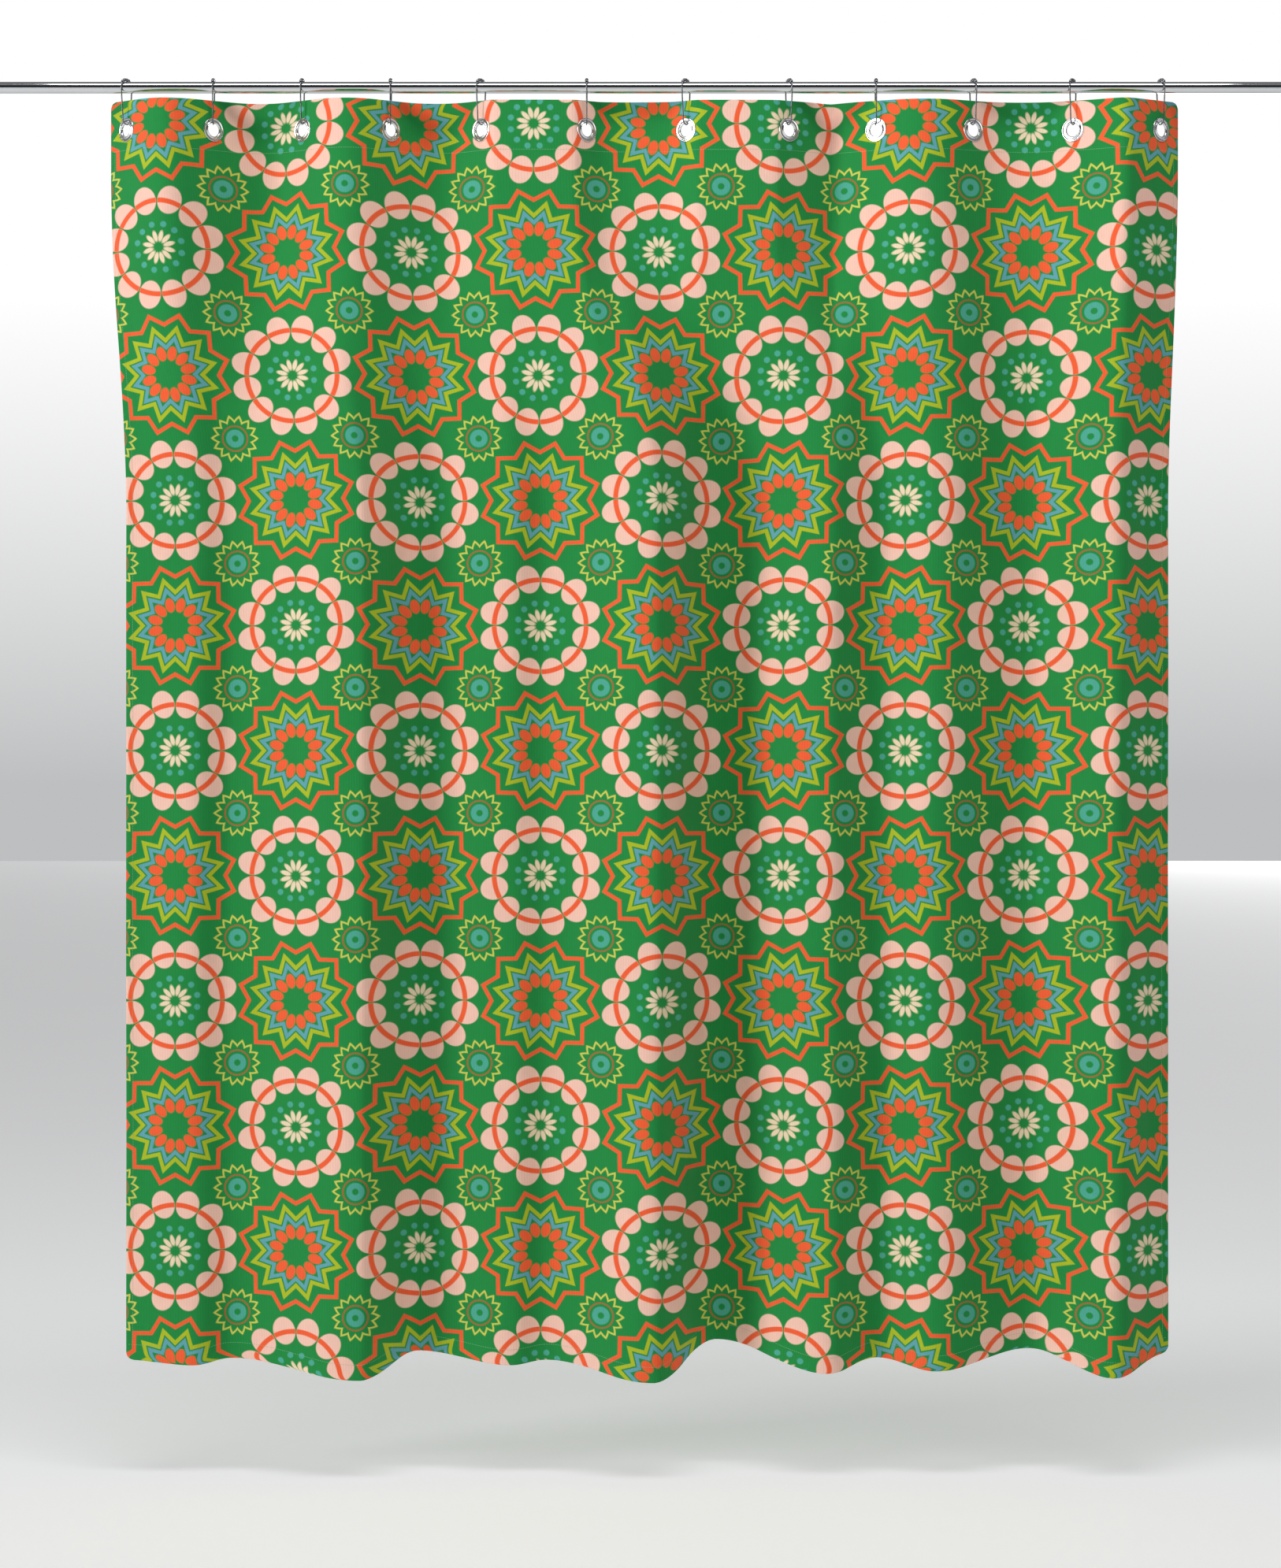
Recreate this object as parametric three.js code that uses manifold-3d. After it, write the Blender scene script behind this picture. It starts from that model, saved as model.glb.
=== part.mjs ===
// Shower curtain on its rod: one printed cloth sheet with twelve metal eyelets, hung on twelve
// bent-wire roller hooks that slide along a straight rod between two wall flanges.
// Millimetres. X runs along the rod from the left wall, +Y points into the bath, +Z is up.
// The origin is the centre of the left flange's wall face, on the rod's axis.
import * as THREE from "three";
import { mergeVertices } from "three/addons/utils/BufferGeometryUtils.js";
import Module from "manifold-3d";

const wasm = await Module();
wasm.setup();

const fit_gap = 0.3;              // clearance between pieces that seat on each other

// Rod and flanges
const wall_span = 1945;           // wall face to wall face
const rod_d = 17;
const rod_wall = 1;
const flange_d = 60;
const flange_plate = 3.5;
const flange_socket = 19;         // how far the socket stands off the wall
const socket_wall = 2.5;
const screw_circle_r = 22;
const screw_d = 4;
const screw_head_d = 7;
const screw_head_h = 1.5;
const cover_d = 66;
const cover_depth = 16;
const cover_wall = 1;

// Cloth
const cloth_flat_w = 1803;        // 71 in cut width
const cloth_drop = 1880;          // 74 in from top edge to hem
const cloth_t = 0.6;
const cloth_left_x = 184;         // where the left edge hangs at the top
const hung_w = 1589;              // width of the header as it hangs
const hem_left_in = 25;           // the hem hangs this much further in on the left
const hem_right_in = 14;          // and this much on the right
const top_gap = 11;               // top edge of the cloth below the underside of the rod
const pad_half = 20;              // flat cloth on each side of an eyelet's centre
const header_depth = 105;         // the header keeps its own pleats down to here
const header_fade = 620;          // below this the body folds have taken over
const fold_samples = 600;

// Eyelets
const eyelet_count = 12;
const eyelet_edge = 38;           // first and last eyelet from the side edges, on the flat cloth
const eyelet_drop = 43;           // eyelet centre below the top edge
const eyelet_d = 35;
const eyelet_bore = 20;
const eyelet_barrel = 0.7;        // barrel wall
const flange_t = 0.7;             // thickness of an eyelet flange
const wire_room = 1;              // between the wire and the top of the bore

// Hooks
const wire_d = 2;
const roller_d = 5;
const roller_len = 4;
const roller_bore = 3.4;
const leg_room = 0.7;             // the legs stand this much wider than the bend over the rod
const split_gap = 0.6;            // the snap joint in the back leg
const bottom_turn_r = 9;          // bend of the wire where it passes through the eyelet

// Spacing of the hooks as the curtain hangs, as shares of the mean spacing
const hook_spacing = [0.925, 0.945, 0.94, 0.96, 1.125, 1.055, 1.095, 0.925, 1.035, 1.06, 0.935];
// How far each hook is turned about the vertical, degrees: positive swings its back leg to +X
const hook_turns = [30, 0, 8, 0, 31, 0, 30, -21, 0, -19, 29, -20];
// How far the cloth is turned at each eyelet, degrees, in alternating directions
const eyelet_turns = [45, 42, 42, 44, 42, 38, 36, 32, 31, 30, 30, 40];
// Ridges (negative, towards the room) and valleys of the body folds: share of the width, depth
const folds = [
  [0, 0], [0.065, -12], [0.1, 4], [0.226, -45], [0.279, 20], [0.369, -12], [0.403, 0],
  [0.505, -50], [0.566, 45], [0.671, -30], [0.72, 5], [0.773, -25], [0.867, 25], [0.942, -40],
  [1, 15],
];

const steel = { color: 0x8d9094, roughness: 0.3, metalness: 1 };
const chrome = { color: 0xd2d5d8, roughness: 0.12, metalness: 1 };
const nickel = { color: 0xe2e3e4, roughness: 0.25, metalness: 1 };
const zinc = { color: 0xa8acb0, roughness: 0.45, metalness: 1 };
const polyester = { color: 0x1f8a44, roughness: 0.85, metalness: 0 };

const rad = THREE.MathUtils.degToRad;
const rod_r = rod_d / 2;
const bore_r = eyelet_bore / 2;
const barrel_r = bore_r + eyelet_barrel;
const eyelet_pitch = (cloth_flat_w - 2 * eyelet_edge) / (eyelet_count - 1);
const cloth_top_z = -rod_r - top_gap;
const eyelet_z = cloth_top_z - eyelet_drop;
const wire_ring_r = rod_r + fit_gap + roller_d / 2;
const wire_low_z = eyelet_z + bore_r - wire_room - wire_d / 2;
const leg_y = wire_ring_r + leg_room;

function add(parent, name, geometry, look) {
  const mesh = new THREE.Mesh(geometry, new THREE.MeshStandardMaterial(look));
  mesh.name = name;
  parent.add(mesh);
  return mesh;
}

// A closed geometry as a manifold solid.
function solid(geometry) {
  const bare = geometry.clone();
  bare.deleteAttribute("normal");
  bare.deleteAttribute("uv");
  const merged = mergeVertices(bare, 1e-4);
  return new wasm.Manifold(new wasm.Mesh({
    numProp: 3,
    vertProperties: new Float32Array(merged.attributes.position.array),
    triVerts: new Uint32Array(merged.index.array),
  }));
}

// A manifold solid as a geometry.
function geometryOf(body) {
  const mesh = body.getMesh();
  const geometry = new THREE.BufferGeometry();
  geometry.setAttribute("position", new THREE.BufferAttribute(mesh.vertProperties, 3));
  geometry.setIndex(new THREE.BufferAttribute(mesh.triVerts, 1));
  geometry.computeVertexNormals();
  return geometry;
}

// Turned solid about the X axis: points are [radius, distance along +X], closed on themselves.
function turned(points, sides) {
  const ring = points.map(([r, x]) => new THREE.Vector2(r, x));
  ring.push(ring[0].clone());
  const geometry = new THREE.LatheGeometry(ring, sides);
  geometry.rotateZ(-Math.PI / 2);
  return geometry;
}

// ---- Rod and wall flanges ----

function rodTube() {
  const back = flange_plate + fit_gap;
  const outer = rod_r;
  const inner = rod_r - rod_wall;
  return turned([[inner, back], [outer, back], [outer, wall_span - back],
    [inner, wall_span - back]], 20);
}

// Wall flange: a plate with a socket for the end of the rod and two screw holes.
function flange() {
  const bore = rod_r + fit_gap;
  const plate = turned([[0, 0], [flange_d / 2, 0], [flange_d / 2, flange_plate],
    [bore + socket_wall, flange_plate], [bore + socket_wall, flange_socket],
    [bore, flange_socket], [bore, flange_plate], [0, flange_plate]], 20);
  let body = solid(plate);
  for (const side of [-1, 1]) {
    const hole = new THREE.CylinderGeometry(screw_d / 2 + fit_gap, screw_d / 2 + fit_gap,
      4 * flange_plate, 12);
    hole.rotateZ(Math.PI / 2);
    hole.translate(0, 0, side * screw_circle_r);
    body = body.subtract(solid(hole));
  }
  return geometryOf(body);
}

// Pan-head screw, its head on the plate; the thread ends at the wall face.
function flangeScrew() {
  const seat = flange_plate + fit_gap;
  const r = screw_d / 2;
  return turned([[0, fit_gap], [r, fit_gap], [r, seat], [screw_head_d / 2, seat],
    [screw_head_d / 2, seat + screw_head_h * 0.6], [screw_head_d / 4, seat + screw_head_h],
    [0, seat + screw_head_h]], 12);
}

// Domed cover that slides along the rod and closes over the flange.
function flangeCover() {
  const hole = rod_r + fit_gap + socket_wall + fit_gap;
  const out = cover_d / 2;
  return turned([[out - cover_wall, fit_gap], [out, fit_gap], [out, cover_depth * 0.35],
    [out * 0.82, cover_depth * 0.8], [out * 0.6, cover_depth],
    [hole, cover_depth], [hole, cover_depth - cover_wall],
    [out * 0.6 - cover_wall, cover_depth - cover_wall],
    [out * 0.82 - cover_wall, cover_depth * 0.8 - cover_wall],
    [out - cover_wall, cover_depth * 0.35 - cover_wall * 0.5]], 20);
}

function wallEnd(side, look) {
  const end = new THREE.Group();
  add(end, `flange_${side}`, flange(), zinc);
  add(end, `flange_cover_${side}`, flangeCover(), look);
  for (const [word, way] of [["upper", 1], ["lower", -1]]) {
    add(end, `screw_${side}_${word}`, flangeScrew(), steel).position.z = way * screw_circle_r;
  }
  return end;
}

// ---- Where the hooks and eyelets hang ----

function hookPlaces() {
  const total = hook_spacing.reduce((sum, share) => sum + share, 0);
  const first = cloth_left_x + eyelet_edge * Math.cos(rad(eyelet_turns[0]));
  const last = cloth_left_x + hung_w - eyelet_edge * Math.cos(rad(eyelet_turns.at(-1)));
  const places = [first];
  for (const share of hook_spacing) {
    places.push(places.at(-1) + share / total * (last - first));
  }
  return places;
}

const hook_x = hookPlaces();
const eyelet_yaw = eyelet_turns.map((turn, k) => rad(k % 2 ? -turn : turn));

// ---- Cloth ----

// Points of a cubic between two ends, leaving along unit vectors a_way and b_way.
function bow(a, a_way, b, b_way, reach, count) {
  const path = new THREE.CubicBezierCurve(a, a.clone().addScaledVector(a_way, reach),
    b.clone().addScaledVector(b_way, -reach), b);
  return path.getPoints(count);
}

function lengthOf(points) {
  let sum = 0;
  for (let i = 1; i < points.length; i++) sum += points[i].distanceTo(points[i - 1]);
  return sum;
}

// Finds the value between low and high at which rising(value) reaches target.
function solve(rising, target, low, high) {
  for (let i = 0; i < 40; i++) {
    const middle = (low + high) / 2;
    if (rising(middle) < target) low = middle;
    else high = middle;
  }
  return (low + high) / 2;
}

// The header seen from above. The cloth lies flat under each eyelet, and between two eyelets
// it bows out until the whole pitch is used up.
function headerPlan() {
  const ways = eyelet_yaw.map((yaw) => new THREE.Vector2(Math.cos(yaw), -Math.sin(yaw)));
  const pads = hook_x.map((x) => new THREE.Vector2(x, 0));
  const points = [];
  const shares = [];
  const mark = (point, flat) => {
    points.push(point);
    shares.push(flat / cloth_flat_w);
  };
  mark(pads[0].clone().addScaledVector(ways[0], -eyelet_edge), 0);
  pads.forEach((pad, k) => {
    const flat = eyelet_edge + k * eyelet_pitch;
    mark(pad.clone().addScaledVector(ways[k], -pad_half), flat - pad_half);
    mark(pad.clone().addScaledVector(ways[k], pad_half), flat + pad_half);
    if (k === eyelet_count - 1) return;
    const a = points.at(-1);
    const b = pads[k + 1].clone().addScaledVector(ways[k + 1], -pad_half);
    const slack = eyelet_pitch - 2 * pad_half;
    const curve = (reach, count) => bow(a, ways[k], b, ways[k + 1], reach, count);
    const reach = solve((value) => lengthOf(curve(value, 60)), slack, 5, 90);
    curve(reach, 6).slice(1, -1).forEach((point, i) => {
      mark(point, flat + pad_half + slack * (i + 1) / 6);
    });
  });
  mark(pads.at(-1).clone().addScaledVector(ways.at(-1), eyelet_edge), cloth_flat_w);
  return { points, shares };
}

// Depth of the body folds at a share of the width: a half cosine from each ridge to the next
// valley.
function foldDepth(share) {
  let i = 1;
  while (i < folds.length - 1 && share > folds[i][0]) i++;
  const [from, from_depth] = folds[i - 1];
  const [to, to_depth] = folds[i];
  const t = (1 - Math.cos(Math.PI * (share - from) / (to - from))) / 2;
  return from_depth + (to_depth - from_depth) * t;
}

// The hem seen from above: the folds deepen until the whole cut width is used up, and hang
// evenly to the front and the back of the rod.
function bodyPlan(shares) {
  const left = cloth_left_x + hem_left_in;
  const width = hung_w - hem_left_in - hem_right_in;
  const curve = (depth) => Array.from({ length: fold_samples + 1 }, (_, i) => {
    const share = i / fold_samples;
    return new THREE.Vector2(left + width * share, depth * foldDepth(share));
  });
  const depth = solve((value) => lengthOf(curve(value)), cloth_flat_w, 0.2, 4);
  const points = curve(depth);
  const reached = [0];
  for (let i = 1; i < points.length; i++) {
    reached.push(reached[i - 1] + points[i].distanceTo(points[i - 1]));
  }
  const middle = points.reduce((sum, point) => sum + point.y, 0) / points.length;
  return shares.map((share) => {
    const target = share * reached.at(-1);
    let i = 1;
    while (i < points.length - 1 && reached[i] < target) i++;
    const t = (target - reached[i - 1]) / (reached[i] - reached[i - 1]);
    const point = points[i - 1].clone().lerp(points[i], Math.min(t, 1));
    point.y -= middle;
    return point;
  });
}

// The sheet: rows of plan curves, from the header's pleats to the body folds, given a
// thickness across the plan, with a hole for each eyelet's barrel.
function cloth() {
  const header = headerPlan();
  const body = bodyPlan(header.shares);
  const drops = [0, header_depth, 215, 330, 450, header_fade, 1200, cloth_drop];
  const columns = header.points.length;
  const rows = drops.map((drop) => {
    const fade = THREE.MathUtils.smoothstep(drop, header_depth, header_fade);
    const line = header.points.map((point, i) => point.clone().lerp(body[i], fade));
    return { z: cloth_top_z - drop, line };
  });
  const position = [];
  for (const side of [-1, 1]) {
    for (const { z, line } of rows) {
      line.forEach((point, i) => {
        const before = line[Math.max(i - 1, 0)];
        const after = line[Math.min(i + 1, columns - 1)];
        const across = after.clone().sub(before).normalize();
        const shift = side * cloth_t / 2;
        position.push(point.x - across.y * shift, point.y + across.x * shift, z);
      });
    }
  }
  const index = [];
  const at = (side, row, column) => (side * rows.length + row) * columns + column;
  const quad = (a, b, c, d) => index.push(a, b, c, a, c, d);
  for (let r = 0; r < rows.length - 1; r++) {
    for (let c = 0; c < columns - 1; c++) {
      quad(at(0, r, c), at(0, r + 1, c), at(0, r + 1, c + 1), at(0, r, c + 1));
      quad(at(1, r, c), at(1, r, c + 1), at(1, r + 1, c + 1), at(1, r + 1, c));
    }
    quad(at(0, r, 0), at(1, r, 0), at(1, r + 1, 0), at(0, r + 1, 0));
    const end = columns - 1;
    quad(at(0, r, end), at(0, r + 1, end), at(1, r + 1, end), at(1, r, end));
  }
  const last = rows.length - 1;
  for (let c = 0; c < columns - 1; c++) {
    quad(at(0, 0, c), at(0, 0, c + 1), at(1, 0, c + 1), at(1, 0, c));
    quad(at(0, last, c), at(1, last, c), at(1, last, c + 1), at(0, last, c + 1));
  }
  const sheet = new THREE.BufferGeometry();
  sheet.setAttribute("position", new THREE.Float32BufferAttribute(position, 3));
  sheet.setIndex(index);
  let body_solid = solid(sheet);
  hook_x.forEach((x, k) => {
    const hole = new THREE.CylinderGeometry(barrel_r + fit_gap, barrel_r + fit_gap,
      6 * cloth_t, 20);
    hole.rotateZ(-eyelet_yaw[k]);
    hole.translate(x, 0, eyelet_z);
    body_solid = body_solid.subtract(solid(hole));
  });
  return geometryOf(body_solid);
}

// ---- Eyelets ----

// Front half: a dished flange with a barrel that passes through the cloth and flares out
// at the back. Turned about Y, the front facing -Y.
function eyeletFront() {
  const face = cloth_t / 2 + fit_gap;
  const out = eyelet_d / 2;
  const front = face + flange_t;
  const rear = face + flange_t;
  const points = [[bore_r, 0.4], [bore_r, -0.4], [bore_r + 1.7, -front], [out - 1, -front],
    [out, -face - flange_t / 2], [out, -face], [barrel_r, -face], [barrel_r, face * 0.8],
    [barrel_r + 1.2, rear], [bore_r + 1.5, rear]];
  return lathed(points, 14);
}

// Back half: a plain ring set round the flared end of the barrel.
function eyeletBack() {
  const face = cloth_t / 2 + fit_gap;
  const out = eyelet_d / 2 - 0.5;
  const points = [[barrel_r + 0.7, face], [out, face], [out, face + flange_t / 2],
    [out - 0.8, face + flange_t], [barrel_r + 1.7, face + flange_t]];
  return lathed(points, 14);
}

function lathed(points, sides) {
  const ring = points.map(([r, y]) => new THREE.Vector2(r, y));
  ring.push(ring[0].clone());
  return facingOut(new THREE.LatheGeometry(ring, sides));
}

// ---- Hooks ----

// One wire, bent in the YZ plane: over the rod, down in front of the cloth, through the
// eyelet and up behind it, with a snap joint half way up the back leg.
function hookWire() {
  const split_z = wire_low_z / 2;
  const knee_z = wire_low_z + bottom_turn_r;
  const points = [[leg_y * 0.96, split_z + split_gap / 2], [leg_y, -8]];
  const over = 8;
  for (let i = 0; i <= over; i++) {
    const angle = Math.PI * i / over;
    points.push([leg_y * Math.cos(angle), wire_ring_r * Math.sin(angle)]);
  }
  points.push([-leg_y, -12], [-leg_y * 0.96, split_z]);
  const under = 6;
  for (let i = 0; i <= under; i++) {
    const angle = Math.PI * (1 + i / under);
    points.push([bottom_turn_r * Math.cos(angle), knee_z + bottom_turn_r * Math.sin(angle)]);
  }
  points.push([leg_y * 0.96, split_z - split_gap / 2]);
  const path = new THREE.CatmullRomCurve3(points.map(([y, z]) => new THREE.Vector3(0, y, z)));
  const section = new THREE.Shape();
  section.absarc(0, 0, wire_d / 2, 0, 2 * Math.PI);
  return new THREE.ExtrudeGeometry(section, { steps: 24, curveSegments: 4, extrudePath: path });
}

// Small barrel roller on the top of the wire, turning about Y.
function roller() {
  const r = roller_d / 2;
  const half = roller_len / 2;
  const bore = roller_bore / 2;
  return lathed([[bore, -half], [r * 0.8, -half], [r, -half * 0.4], [r, half * 0.4],
    [r * 0.8, half], [bore, half]], 10);
}

// Turns a lathed geometry right side out when its profile ran the other way round.
function facingOut(geometry) {
  const position = geometry.attributes.position;
  const a = new THREE.Vector3();
  const b = new THREE.Vector3();
  const c = new THREE.Vector3();
  const order = geometry.index.array;
  let volume = 0;
  for (let i = 0; i < order.length; i += 3) {
    a.fromBufferAttribute(position, order[i]);
    b.fromBufferAttribute(position, order[i + 1]);
    c.fromBufferAttribute(position, order[i + 2]);
    volume += a.dot(b.cross(c));
  }
  if (volume < 0) {
    for (let i = 0; i < order.length; i += 3) {
      [order[i], order[i + 1]] = [order[i + 1], order[i]];
    }
  }
  return geometry;
}

// ---- Assembly ----

const group = new THREE.Group();

const rod = new THREE.Group();
add(rod, "rod_tube", rodTube(), chrome);
rod.add(wallEnd("left", chrome));
const right_end = wallEnd("right", chrome);
right_end.rotation.z = Math.PI;
right_end.position.x = wall_span;
rod.add(right_end);
group.add(rod);

add(group, "curtain", cloth(), polyester);

hook_x.forEach((x, k) => {
  const number = String(k + 1).padStart(2, "0");
  const hanger = new THREE.Group();
  hanger.position.x = x;

  const ring = new THREE.Group();
  ring.rotation.z = rad(-hook_turns[k]);
  add(ring, `hook_${number}`, hookWire(), steel);
  add(ring, `roller_${number}`, roller(), steel).position.z = wire_ring_r;
  hanger.add(ring);

  const eyelet = new THREE.Group();
  eyelet.position.z = eyelet_z;
  eyelet.rotation.z = -eyelet_yaw[k];
  add(eyelet, `eyelet_${number}`, eyeletFront(), nickel);
  add(eyelet, `eyelet_ring_${number}`, eyeletBack(), nickel);
  hanger.add(eyelet);
  group.add(hanger);
});

export default group;
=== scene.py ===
"""A printed cloth shower curtain, hung by metal eyelets from wire roller hooks on a rod."""
import math

import bmesh
import bpy
import numpy as np
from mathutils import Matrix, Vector


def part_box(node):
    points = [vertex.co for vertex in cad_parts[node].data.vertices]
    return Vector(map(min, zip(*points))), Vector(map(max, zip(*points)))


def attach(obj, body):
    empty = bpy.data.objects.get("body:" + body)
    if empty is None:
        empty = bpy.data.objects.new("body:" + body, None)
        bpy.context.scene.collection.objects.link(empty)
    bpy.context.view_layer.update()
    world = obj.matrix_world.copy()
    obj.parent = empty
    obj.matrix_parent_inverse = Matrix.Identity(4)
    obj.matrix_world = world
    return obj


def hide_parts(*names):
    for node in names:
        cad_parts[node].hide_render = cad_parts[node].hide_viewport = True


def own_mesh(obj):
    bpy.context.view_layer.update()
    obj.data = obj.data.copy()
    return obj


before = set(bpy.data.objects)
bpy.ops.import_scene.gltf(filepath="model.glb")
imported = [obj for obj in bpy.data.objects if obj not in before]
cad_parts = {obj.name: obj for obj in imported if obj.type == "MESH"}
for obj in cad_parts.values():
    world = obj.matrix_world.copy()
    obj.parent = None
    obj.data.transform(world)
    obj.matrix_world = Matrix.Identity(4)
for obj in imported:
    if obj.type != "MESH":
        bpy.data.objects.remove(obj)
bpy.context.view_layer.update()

# ---- Camera ----
# A long lens stands square on to the room side of the curtain, at half the height of the
# view, so the rod runs level across the top of the picture.
view_h = 2.3249                  # metres from the top of the picture to the bottom
view_centre = (0.9727, 0.0, -1.0324)
view_distance = 5.0

camera_data = bpy.data.cameras.new("camera")
camera_data.sensor_width = 36
camera_data.lens = camera_data.sensor_width * view_distance / view_h
camera = bpy.data.objects.new("camera", camera_data)
camera.location = (view_centre[0], -view_distance, view_centre[2])
camera.rotation_euler = (math.pi / 2, 0, 0)
bpy.context.collection.objects.link(camera)
bpy.context.scene.camera = camera
bpy.context.scene.view_settings.view_transform = "Standard"


# ---- Studio ----
# A pale floor under a white surround, with a broad soft light on the left, weaker ones on the
# right and above, and a distant one behind, past the floor's far edge. What the metal reflects
# is greyer than what shows behind the curtain, and a dark patch in it gives the chrome stripes.
floor_z = -2.06
floor_reach = 40
floor_glow = 0.27                # its own light, so that it stays pale in the far corners
surround_light = 0.26


class Tone:
    """A shader socket in Python arithmetic: each operation adds the Math node that does it."""

    def __init__(self, tree, socket):
        self.tree = tree
        self.socket = socket

    def make(self, kind, inputs=None, out=0, **settings):
        """Adds a node of this kind, sets it up, joins its inputs and returns one output."""
        node = self.tree.nodes.new(kind)
        for name, value in settings.items():
            setattr(node, name, value)
        for name, value in (inputs or {}).items():
            if isinstance(value, Tone):
                self.tree.links.new(value.socket, node.inputs[name])
            else:
                node.inputs[name].default_value = value
        return Tone(self.tree, node.outputs[out] if len(node.outputs) else None)

    def math(self, operation, *others):
        """This kind of arithmetic on the socket and the others."""
        values = dict(enumerate((self, *others)))
        return self.make("ShaderNodeMath", values, operation=operation)

    def __add__(self, other):
        return self.math("ADD", other)

    def __radd__(self, other):
        return self.math("ADD", other)

    def __sub__(self, other):
        return self.math("SUBTRACT", other)

    def __rsub__(self, other):
        return (self * -1).math("ADD", other)

    def __mul__(self, other):
        return self.math("MULTIPLY", other)

    def __rmul__(self, other):
        return self.math("MULTIPLY", other)

    def __truediv__(self, other):
        return self.math("DIVIDE", other)

    def __abs__(self):
        return self.math("ABSOLUTE")

    def least(self, other):
        """The smaller of two, which is where two masks overlap."""
        return self.math("MINIMUM", other)

    def soft(self, width):
        """0 below zero and 1 above it, with an edge this wide."""
        return self.make("ShaderNodeMath", {0: self, 1: 1 / width, 2: 0.5},
                         operation="MULTIPLY_ADD", use_clamp=True)

    def over(self, under, colour):
        """Lays a colour over another where this mask is 1."""
        return self.make("ShaderNodeMix", {0: self, 6: under, 7: colour}, out=2,
                         data_type="RGBA")


def hue(red, green, blue):
    """A screen colour from 0 to 255 as a linear colour with full alpha, by the standard curve
    of screens: c / 12.92 near black, and ((c + 0.055) / 1.055)^2.4 above."""
    def linear(c):
        c /= 255
        return c / 12.92 if c <= 0.04045 else ((c + 0.055) / 1.055) ** 2.4
    return (linear(red), linear(green), linear(blue), 1)


world = bpy.data.worlds.new("studio")
bpy.context.scene.world = world
world.use_nodes = True
world_tree = world.node_tree
world_tree.nodes.clear()
sky = Tone(world_tree, None)
way = sky.make("ShaderNodeTexCoord")
split = way.make("ShaderNodeSeparateXYZ", {0: way})
way_x, way_y, way_z = (Tone(world_tree, split.socket.node.outputs[i]) for i in range(3))
# The dark patch stands on the room side, and the backdrop whitens just above the horizon.
dark_end = ((0.5 - abs(way_x)).soft(0.25) * (0.1 - way_y).soft(0.3)
            * (0.6 - way_z).soft(0.15) * (way_z + 0.5).soft(0.15))
seen = sky.make("ShaderNodeLightPath")
room = dark_end.over(hue(225, 227, 230), hue(60, 62, 64))
rise = (way_z - 0.07).soft(0.14)
backdrop = rise.over(hue(190, 191, 192), (1, 1, 1, 1))
glow = sky.make("ShaderNodeBackground", {"Color": room, "Strength": surround_light})
glow_white = sky.make("ShaderNodeBackground", {"Color": backdrop, "Strength": 1.0})
either = sky.make("ShaderNodeMixShader", {0: seen, 1: glow, 2: glow_white})
either.make("ShaderNodeOutputWorld", {"Surface": either})


def area_light(name, place, aim, size, power):
    """A rectangular light of this size in metres and power in watts, turned to its aim."""
    data = bpy.data.lights.new(name, "AREA")
    data.shape = "RECTANGLE"
    data.size, data.size_y = size
    data.energy = power
    lamp = bpy.data.objects.new(name, data)
    lamp.location = place
    turn = (np.array(aim) - np.array(place)).tolist()
    lamp.rotation_euler = Vector(turn).to_track_quat("-Z", "Y").to_euler()
    bpy.context.collection.objects.link(lamp)


area_light("key", (-7.0, -4.4, 0.6), (0.97, 0, -0.9), (2.4, 5.2), 400)
area_light("fill", (4.0, -3.4, -0.6), (0.97, 0, -1.0), (1.6, 2.4), 15)
area_light("top", (0.97, -1.2, 1.9), (0.97, 0, -0.3), (3.0, 0.8), 36)
area_light("back", (20.0, 62.0, 3.0), (0.97, 0, -1.0), (20.0, 8.0), 15000)


def material(name, **fixed):
    """A Principled material with these fixed socket values, and a Tone to build on."""
    made = bpy.data.materials.new(name)
    made.use_nodes = True
    shader = made.node_tree.nodes["Principled BSDF"]
    for socket, value in fixed.items():
        shader.inputs[socket.replace("_", " ")].default_value = value
    return made, shader, Tone(made.node_tree, None)


def feed(tone, shader, socket):
    """Joins a Tone to a shader's socket."""
    tone.tree.links.new(tone.socket, shader.inputs[socket])


floor_paint, floor_shader, base = material("floor_paint", Roughness=0.9,
                                           Emission_Color=(1, 1, 1, 1),
                                           Emission_Strength=floor_glow)
spot = base.make("ShaderNodeTexCoord", out=3)
grain = base.make("ShaderNodeTexNoise", {"Vector": spot, "Scale": 1.3, "Detail": 2.0})
feed(grain.make("ShaderNodeMix", {0: grain, 6: (0.93, 0.93, 0.935, 1),
                                  7: (0.97, 0.97, 0.97, 1)}, out=2, data_type="RGBA"),
     floor_shader, "Base Color")
floor_mesh = bpy.data.meshes.new("floor")
corners = [(-1, -1), (1, -1), (1, 1), (-1, 1)]
floor_mesh.from_pydata([(x * floor_reach, y * floor_reach, floor_z) for x, y in corners], [],
                       [(0, 1, 2, 3)])
floor_mesh.materials.append(floor_paint)
floor = bpy.data.objects.new("floor", floor_mesh)
bpy.context.collection.objects.link(floor)


# ---- Rod ----
# A straight thin-walled steel tube, chromium plated and polished, cut square at both ends.
# A cloudy haze in the polish and very fine scratches break the reflections.
rod_r = 0.0085
rod_wall = 0.001
rod_edge = 0.0003                # rounding of the sawn ends


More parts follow.
